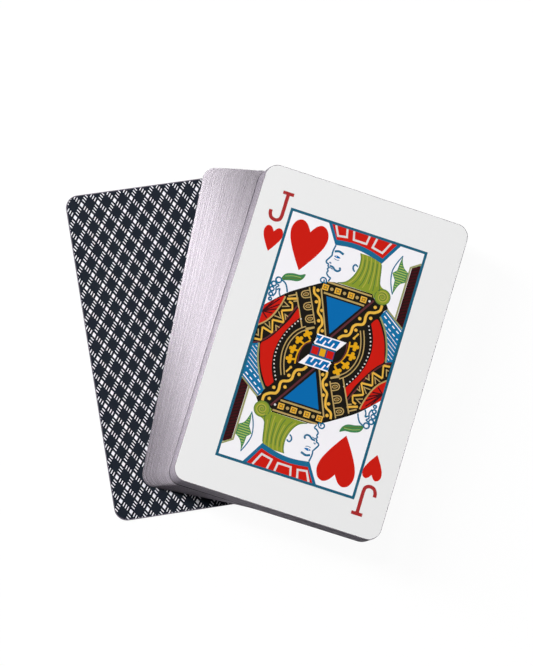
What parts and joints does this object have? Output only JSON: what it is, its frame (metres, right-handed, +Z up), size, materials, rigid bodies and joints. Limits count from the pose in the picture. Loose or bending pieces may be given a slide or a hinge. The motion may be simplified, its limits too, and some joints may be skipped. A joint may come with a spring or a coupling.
{
  "type": "playing card deck",
  "caption": "Deck of bridge-size plastic playing cards: a face-down card with a lattice back under a turned and fanned face-up packet, with the jack of hearts on top.",
  "frame": {"origin": "middle of the bottom card's underside, on the table", "axes": "+Z up from the table, +Y along the bottom card's long side, +X along its short side"},
  "size_m": [0.104, 0.1074, 0.0173],
  "materials": {
    "card_face": "calendered white PVC with printed face, satin gloss",
    "card_back": "white PVC printed dark navy with a white lattice, satin gloss"
  },
  "bodies": {
    "seven_of_spades": {"seven_of_spades": "card_back"},
    "five_of_clubs": {"five_of_clubs": "card_face"},
    "ace_of_diamonds": {"ace_of_diamonds": "card_face"},
    "ten_of_spades": {"ten_of_spades": "card_face"},
    "eight_of_clubs": {"eight_of_clubs": "card_face"},
    "four_of_diamonds": {"four_of_diamonds": "card_face"},
    "king_of_spades": {"king_of_spades": "card_face"},
    "jack_of_clubs": {"jack_of_clubs": "card_face"},
    "seven_of_diamonds": {"seven_of_diamonds": "card_face"},
    "three_of_hearts": {"three_of_hearts": "card_face"},
    "red_joker": {"red_joker": "card_face"},
    "ten_of_diamonds": {"ten_of_diamonds": "card_face"},
    "six_of_hearts": {"six_of_hearts": "card_face"},
    "two_of_spades": {"two_of_spades": "card_face"},
    "king_of_diamonds": {"king_of_diamonds": "card_face"},
    "nine_of_hearts": {"nine_of_hearts": "card_face"},
    "five_of_spades": {"five_of_spades": "card_face"},
    "three_of_clubs": {"three_of_clubs": "card_face"},
    "queen_of_hearts": {"queen_of_hearts": "card_face"},
    "eight_of_spades": {"eight_of_spades": "card_face"},
    "six_of_clubs": {"six_of_clubs": "card_face"},
    "two_of_diamonds": {"two_of_diamonds": "card_face"},
    "jack_of_spades": {"jack_of_spades": "card_face"},
    "nine_of_clubs": {"nine_of_clubs": "card_face"},
    "five_of_diamonds": {"five_of_diamonds": "card_face"},
    "ace_of_hearts": {"ace_of_hearts": "card_face"},
    "queen_of_clubs": {"queen_of_clubs": "card_face"},
    "eight_of_diamonds": {"eight_of_diamonds": "card_face"},
    "four_of_hearts": {"four_of_hearts": "card_face"},
    "black_joker": {"black_joker": "card_face"},
    "jack_of_diamonds": {"jack_of_diamonds": "card_face"},
    "seven_of_hearts": {"seven_of_hearts": "card_face"},
    "three_of_spades": {"three_of_spades": "card_face"},
    "ace_of_clubs": {"ace_of_clubs": "card_face"},
    "ten_of_hearts": {"ten_of_hearts": "card_face"},
    "six_of_spades": {"six_of_spades": "card_face"},
    "four_of_clubs": {"four_of_clubs": "card_face"},
    "king_of_hearts": {"king_of_hearts": "card_face"},
    "nine_of_spades": {"nine_of_spades": "card_face"},
    "seven_of_clubs": {"seven_of_clubs": "card_face"},
    "three_of_diamonds": {"three_of_diamonds": "card_face"},
    "queen_of_spades": {"queen_of_spades": "card_face"},
    "ten_of_clubs": {"ten_of_clubs": "card_face"},
    "six_of_diamonds": {"six_of_diamonds": "card_face"},
    "two_of_hearts": {"two_of_hearts": "card_face"},
    "king_of_clubs": {"king_of_clubs": "card_face"},
    "nine_of_diamonds": {"nine_of_diamonds": "card_face"},
    "five_of_hearts": {"five_of_hearts": "card_face"},
    "ace_of_spades": {"ace_of_spades": "card_face"},
    "queen_of_diamonds": {"queen_of_diamonds": "card_face"},
    "eight_of_hearts": {"eight_of_hearts": "card_face"},
    "four_of_spades": {"four_of_spades": "card_face"},
    "two_of_clubs": {"two_of_clubs": "card_face"},
    "jack_of_hearts": {"jack_of_hearts": "card_face"}
  },
  "joints": [
    {"name": "packet_turn", "type": "hinge", "parent": "seven_of_spades", "child": "five_of_clubs", "pos_m": [0.0002, -0.06165, 0.00047], "axis": [0, 0, 1], "range_deg": [-10, 20.7]},
    {"name": "spread", "type": "hinge", "parent": "five_of_clubs", "child": "two_of_clubs", "pos_m": [-0.0258, -0.09905, 0.01679], "axis": [0, 0, 1], "range_deg": [-9, 5.79]},
    {"name": "spread_ace_of_diamonds", "type": "hinge", "parent": "five_of_clubs", "child": "ace_of_diamonds", "pos_m": [-0.0258, -0.09905, 0.00079], "axis": [0, 0, 1], "range_deg": [-0.4802, 0.3124]},
    {"name": "spread_ten_of_spades", "type": "hinge", "parent": "five_of_clubs", "child": "ten_of_spades", "pos_m": [-0.0258, -0.09905, 0.00111], "axis": [0, 0, 1], "range_deg": [-0.73, 0.47]},
    {"name": "spread_eight_of_clubs", "type": "hinge", "parent": "five_of_clubs", "child": "eight_of_clubs", "pos_m": [-0.0258, -0.09905, 0.00143], "axis": [0, 0, 1], "range_deg": [-1.31, 0.84]},
    {"name": "spread_four_of_diamonds", "type": "hinge", "parent": "five_of_clubs", "child": "four_of_diamonds", "pos_m": [-0.0258, -0.09905, 0.00175], "axis": [0, 0, 1], "range_deg": [-1.62, 1.05]},
    {"name": "spread_king_of_spades", "type": "hinge", "parent": "five_of_clubs", "child": "king_of_spades", "pos_m": [-0.0258, -0.09905, 0.00207], "axis": [0, 0, 1], "range_deg": [-2, 1.29]},
    {"name": "spread_jack_of_clubs", "type": "hinge", "parent": "five_of_clubs", "child": "jack_of_clubs", "pos_m": [-0.0258, -0.09905, 0.00239], "axis": [0, 0, 1], "range_deg": [-2.54, 1.64]},
    {"name": "spread_seven_of_diamonds", "type": "hinge", "parent": "five_of_clubs", "child": "seven_of_diamonds", "pos_m": [-0.0258, -0.09905, 0.00271], "axis": [0, 0, 1], "range_deg": [-2.78, 1.79]},
    {"name": "spread_three_of_hearts", "type": "hinge", "parent": "five_of_clubs", "child": "three_of_hearts", "pos_m": [-0.0258, -0.09905, 0.00303], "axis": [0, 0, 1], "range_deg": [-3.3, 2.13]},
    {"name": "spread_red_joker", "type": "hinge", "parent": "five_of_clubs", "child": "red_joker", "pos_m": [-0.0258, -0.09905, 0.00335], "axis": [0, 0, 1], "range_deg": [-3.71, 2.39]},
    {"name": "spread_ten_of_diamonds", "type": "hinge", "parent": "five_of_clubs", "child": "ten_of_diamonds", "pos_m": [-0.0258, -0.09905, 0.00367], "axis": [0, 0, 1], "range_deg": [-4, 2.57]},
    {"name": "spread_six_of_hearts", "type": "hinge", "parent": "five_of_clubs", "child": "six_of_hearts", "pos_m": [-0.0258, -0.09905, 0.00399], "axis": [0, 0, 1], "range_deg": [-4.58, 2.95]},
    {"name": "spread_two_of_spades", "type": "hinge", "parent": "five_of_clubs", "child": "two_of_spades", "pos_m": [-0.0258, -0.09905, 0.00431], "axis": [0, 0, 1], "range_deg": [-4.85, 3.12]},
    {"name": "spread_king_of_diamonds", "type": "hinge", "parent": "five_of_clubs", "child": "king_of_diamonds", "pos_m": [-0.0258, -0.09905, 0.00463], "axis": [0, 0, 1], "range_deg": [-5.28, 3.4]},
    {"name": "spread_nine_of_hearts", "type": "hinge", "parent": "five_of_clubs", "child": "nine_of_hearts", "pos_m": [-0.0258, -0.09905, 0.00495], "axis": [0, 0, 1], "range_deg": [-5.79, 3.73]},
    {"name": "spread_five_of_spades", "type": "hinge", "parent": "five_of_clubs", "child": "five_of_spades", "pos_m": [-0.0258, -0.09905, 0.00527], "axis": [0, 0, 1], "range_deg": [-6.03, 3.88]},
    {"name": "spread_three_of_clubs", "type": "hinge", "parent": "five_of_clubs", "child": "three_of_clubs", "pos_m": [-0.0258, -0.09905, 0.00559], "axis": [0, 0, 1], "range_deg": [-6.58, 4.24]},
    {"name": "spread_queen_of_hearts", "type": "hinge", "parent": "five_of_clubs", "child": "queen_of_hearts", "pos_m": [-0.0258, -0.09905, 0.00591], "axis": [0, 0, 1], "range_deg": [-6.94, 4.46]},
    {"name": "spread_eight_of_spades", "type": "hinge", "parent": "five_of_clubs", "child": "eight_of_spades", "pos_m": [-0.0258, -0.09905, 0.00623], "axis": [0, 0, 1], "range_deg": [-7.27, 4.68]},
    {"name": "spread_six_of_clubs", "type": "hinge", "parent": "five_of_clubs", "child": "six_of_clubs", "pos_m": [-0.0258, -0.09905, 0.00655], "axis": [0, 0, 1], "range_deg": [-7.84, 5.05]},
    {"name": "spread_two_of_diamonds", "type": "hinge", "parent": "five_of_clubs", "child": "two_of_diamonds", "pos_m": [-0.0258, -0.09905, 0.00687], "axis": [0, 0, 1], "range_deg": [-8.08, 5.2]},
    {"name": "spread_jack_of_spades", "type": "hinge", "parent": "five_of_clubs", "child": "jack_of_spades", "pos_m": [-0.0258, -0.09905, 0.00719], "axis": [0, 0, 1], "range_deg": [-8.57, 5.52]},
    {"name": "spread_nine_of_clubs", "type": "hinge", "parent": "five_of_clubs", "child": "nine_of_clubs", "pos_m": [-0.0258, -0.09905, 0.00751], "axis": [0, 0, 1], "range_deg": [-8.63, 5.55]},
    {"name": "spread_five_of_diamonds", "type": "hinge", "parent": "five_of_clubs", "child": "five_of_diamonds", "pos_m": [-0.0258, -0.09905, 0.00783], "axis": [0, 0, 1], "range_deg": [-8.5, 5.47]},
    {"name": "spread_ace_of_hearts", "type": "hinge", "parent": "five_of_clubs", "child": "ace_of_hearts", "pos_m": [-0.0258, -0.09905, 0.00815], "axis": [0, 0, 1], "range_deg": [-8.69, 5.59]},
    {"name": "spread_queen_of_clubs", "type": "hinge", "parent": "five_of_clubs", "child": "queen_of_clubs", "pos_m": [-0.0258, -0.09905, 0.00847], "axis": [0, 0, 1], "range_deg": [-8.59, 5.53]},
    {"name": "spread_eight_of_diamonds", "type": "hinge", "parent": "five_of_clubs", "child": "eight_of_diamonds", "pos_m": [-0.0258, -0.09905, 0.00879], "axis": [0, 0, 1], "range_deg": [-8.59, 5.53]},
    {"name": "spread_four_of_hearts", "type": "hinge", "parent": "five_of_clubs", "child": "four_of_hearts", "pos_m": [-0.0258, -0.09905, 0.00911], "axis": [0, 0, 1], "range_deg": [-8.73, 5.62]},
    {"name": "spread_black_joker", "type": "hinge", "parent": "five_of_clubs", "child": "black_joker", "pos_m": [-0.0258, -0.09905, 0.00943], "axis": [0, 0, 1], "range_deg": [-8.57, 5.52]},
    {"name": "spread_jack_of_diamonds", "type": "hinge", "parent": "five_of_clubs", "child": "jack_of_diamonds", "pos_m": [-0.0258, -0.09905, 0.00975], "axis": [0, 0, 1], "range_deg": [-8.72, 5.61]},
    {"name": "spread_seven_of_hearts", "type": "hinge", "parent": "five_of_clubs", "child": "seven_of_hearts", "pos_m": [-0.0258, -0.09905, 0.01007], "axis": [0, 0, 1], "range_deg": [-8.72, 5.61]},
    {"name": "spread_three_of_spades", "type": "hinge", "parent": "five_of_clubs", "child": "three_of_spades", "pos_m": [-0.0258, -0.09905, 0.01039], "axis": [0, 0, 1], "range_deg": [-8.63, 5.55]},
    {"name": "spread_ace_of_clubs", "type": "hinge", "parent": "five_of_clubs", "child": "ace_of_clubs", "pos_m": [-0.0258, -0.09905, 0.01071], "axis": [0, 0, 1], "range_deg": [-8.81, 5.67]},
    {"name": "spread_ten_of_hearts", "type": "hinge", "parent": "five_of_clubs", "child": "ten_of_hearts", "pos_m": [-0.0258, -0.09905, 0.01103], "axis": [0, 0, 1], "range_deg": [-8.68, 5.59]},
    {"name": "spread_six_of_spades", "type": "hinge", "parent": "five_of_clubs", "child": "six_of_spades", "pos_m": [-0.0258, -0.09905, 0.01135], "axis": [0, 0, 1], "range_deg": [-8.74, 5.63]},
    {"name": "spread_four_of_clubs", "type": "hinge", "parent": "five_of_clubs", "child": "four_of_clubs", "pos_m": [-0.0258, -0.09905, 0.01167], "axis": [0, 0, 1], "range_deg": [-8.83, 5.69]},
    {"name": "spread_king_of_hearts", "type": "hinge", "parent": "five_of_clubs", "child": "king_of_hearts", "pos_m": [-0.0258, -0.09905, 0.01199], "axis": [0, 0, 1], "range_deg": [-8.69, 5.59]},
    {"name": "spread_nine_of_spades", "type": "hinge", "parent": "five_of_clubs", "child": "nine_of_spades", "pos_m": [-0.0258, -0.09905, 0.01231], "axis": [0, 0, 1], "range_deg": [-8.86, 5.7]},
    {"name": "spread_seven_of_clubs", "type": "hinge", "parent": "five_of_clubs", "child": "seven_of_clubs", "pos_m": [-0.0258, -0.09905, 0.01263], "axis": [0, 0, 1], "range_deg": [-8.8, 5.66]},
    {"name": "spread_three_of_diamonds", "type": "hinge", "parent": "five_of_clubs", "child": "three_of_diamonds", "pos_m": [-0.0258, -0.09905, 0.01295], "axis": [0, 0, 1], "range_deg": [-8.77, 5.64]},
    {"name": "spread_queen_of_spades", "type": "hinge", "parent": "five_of_clubs", "child": "queen_of_spades", "pos_m": [-0.0258, -0.09905, 0.01327], "axis": [0, 0, 1], "range_deg": [-8.93, 5.75]},
    {"name": "spread_ten_of_clubs", "type": "hinge", "parent": "five_of_clubs", "child": "ten_of_clubs", "pos_m": [-0.0258, -0.09905, 0.01359], "axis": [0, 0, 1], "range_deg": [-8.77, 5.65]},
    {"name": "spread_six_of_diamonds", "type": "hinge", "parent": "five_of_clubs", "child": "six_of_diamonds", "pos_m": [-0.0258, -0.09905, 0.01391], "axis": [0, 0, 1], "range_deg": [-8.89, 5.72]},
    {"name": "spread_two_of_hearts", "type": "hinge", "parent": "five_of_clubs", "child": "two_of_hearts", "pos_m": [-0.0258, -0.09905, 0.01423], "axis": [0, 0, 1], "range_deg": [-8.92, 5.74]},
    {"name": "spread_king_of_clubs", "type": "hinge", "parent": "five_of_clubs", "child": "king_of_clubs", "pos_m": [-0.0258, -0.09905, 0.01455], "axis": [0, 0, 1], "range_deg": [-8.81, 5.67]},
    {"name": "spread_nine_of_diamonds", "type": "hinge", "parent": "five_of_clubs", "child": "nine_of_diamonds", "pos_m": [-0.0258, -0.09905, 0.01487], "axis": [0, 0, 1], "range_deg": [-9, 5.79]},
    {"name": "spread_five_of_hearts", "type": "hinge", "parent": "five_of_clubs", "child": "five_of_hearts", "pos_m": [-0.0258, -0.09905, 0.01519], "axis": [0, 0, 1], "range_deg": [-8.89, 5.72]},
    {"name": "spread_ace_of_spades", "type": "hinge", "parent": "five_of_clubs", "child": "ace_of_spades", "pos_m": [-0.0258, -0.09905, 0.01551], "axis": [0, 0, 1], "range_deg": [-8.91, 5.74]},
    {"name": "spread_queen_of_diamonds", "type": "hinge", "parent": "five_of_clubs", "child": "queen_of_diamonds", "pos_m": [-0.0258, -0.09905, 0.01583], "axis": [0, 0, 1], "range_deg": [-9.03, 5.82]},
    {"name": "spread_eight_of_hearts", "type": "hinge", "parent": "five_of_clubs", "child": "eight_of_hearts", "pos_m": [-0.0258, -0.09905, 0.01615], "axis": [0, 0, 1], "range_deg": [-8.88, 5.71]},
    {"name": "spread_four_of_spades", "type": "hinge", "parent": "five_of_clubs", "child": "four_of_spades", "pos_m": [-0.0258, -0.09905, 0.01647], "axis": [0, 0, 1], "range_deg": [-9.04, 5.82]},
    {"name": "deal", "type": "slide", "parent": "two_of_clubs", "child": "jack_of_hearts", "axis": [0.895, -0.446, 0], "range_m": [0, 0.028]}
  ],
  "couplings": [
    {"joint": "spread_ace_of_diamonds", "follows": "spread", "ratio": 0.052243},
    {"joint": "spread_ten_of_spades", "follows": "spread", "ratio": 0.080157},
    {"joint": "spread_eight_of_clubs", "follows": "spread", "ratio": 0.14395},
    {"joint": "spread_four_of_diamonds", "follows": "spread", "ratio": 0.17916},
    {"joint": "spread_king_of_spades", "follows": "spread", "ratio": 0.22064},
    {"joint": "spread_jack_of_clubs", "follows": "spread", "ratio": 0.28146},
    {"joint": "spread_seven_of_diamonds", "follows": "spread", "ratio": 0.3075},
    {"joint": "spread_three_of_hearts", "follows": "spread", "ratio": 0.36547},
    {"joint": "spread_red_joker", "follows": "spread", "ratio": 0.41114},
    {"joint": "spread_ten_of_diamonds", "follows": "spread", "ratio": 0.44302},
    {"joint": "spread_six_of_hearts", "follows": "spread", "ratio": 0.50754},
    {"joint": "spread_two_of_spades", "follows": "spread", "ratio": 0.53771},
    {"joint": "spread_king_of_diamonds", "follows": "spread", "ratio": 0.58589},
    {"joint": "spread_nine_of_hearts", "follows": "spread", "ratio": 0.64187},
    {"joint": "spread_five_of_spades", "follows": "spread", "ratio": 0.66834},
    {"joint": "spread_three_of_clubs", "follows": "spread", "ratio": 0.73052},
    {"joint": "spread_queen_of_hearts", "follows": "spread", "ratio": 0.76955},
    {"joint": "spread_eight_of_spades", "follows": "spread", "ratio": 0.80701},
    {"joint": "spread_six_of_clubs", "follows": "spread", "ratio": 0.86994},
    {"joint": "spread_two_of_diamonds", "follows": "spread", "ratio": 0.89688},
    {"joint": "spread_jack_of_spades", "follows": "spread", "ratio": 0.95142},
    {"joint": "spread_nine_of_clubs", "follows": "spread", "ratio": 0.95763},
    {"joint": "spread_five_of_diamonds", "follows": "spread", "ratio": 0.94319},
    {"joint": "spread_ace_of_hearts", "follows": "spread", "ratio": 0.9639},
    {"joint": "spread_queen_of_clubs", "follows": "spread", "ratio": 0.95342},
    {"joint": "spread_eight_of_diamonds", "follows": "spread", "ratio": 0.95378},
    {"joint": "spread_four_of_hearts", "follows": "spread", "ratio": 0.96936},
    {"joint": "spread_black_joker", "follows": "spread", "ratio": 0.95166},
    {"joint": "spread_jack_of_diamonds", "follows": "spread", "ratio": 0.96781},
    {"joint": "spread_seven_of_hearts", "follows": "spread", "ratio": 0.96732},
    {"joint": "spread_three_of_spades", "follows": "spread", "ratio": 0.95752},
    {"joint": "spread_ace_of_clubs", "follows": "spread", "ratio": 0.97808},
    {"joint": "spread_ten_of_hearts", "follows": "spread", "ratio": 0.96319},
    {"joint": "spread_six_of_spades", "follows": "spread", "ratio": 0.97021},
    {"joint": "spread_four_of_clubs", "follows": "spread", "ratio": 0.98038},
    {"joint": "spread_king_of_hearts", "follows": "spread", "ratio": 0.96399},
    {"joint": "spread_nine_of_spades", "follows": "spread", "ratio": 0.98362},
    {"joint": "spread_seven_of_clubs", "follows": "spread", "ratio": 0.97669},
    {"joint": "spread_three_of_diamonds", "follows": "spread", "ratio": 0.97291},
    {"joint": "spread_queen_of_spades", "follows": "spread", "ratio": 0.99104},
    {"joint": "spread_ten_of_clubs", "follows": "spread", "ratio": 0.97371},
    {"joint": "spread_six_of_diamonds", "follows": "spread", "ratio": 0.98676},
    {"joint": "spread_two_of_hearts", "follows": "spread", "ratio": 0.99048},
    {"joint": "spread_king_of_clubs", "follows": "spread", "ratio": 0.97757},
    {"joint": "spread_nine_of_diamonds", "follows": "spread", "ratio": 0.99851},
    {"joint": "spread_five_of_hearts", "follows": "spread", "ratio": 0.98617},
    {"joint": "spread_ace_of_spades", "follows": "spread", "ratio": 0.98905},
    {"joint": "spread_queen_of_diamonds", "follows": "spread", "ratio": 1.0028},
    {"joint": "spread_eight_of_hearts", "follows": "spread", "ratio": 0.98529},
    {"joint": "spread_four_of_spades", "follows": "spread", "ratio": 1.003}
  ]
}
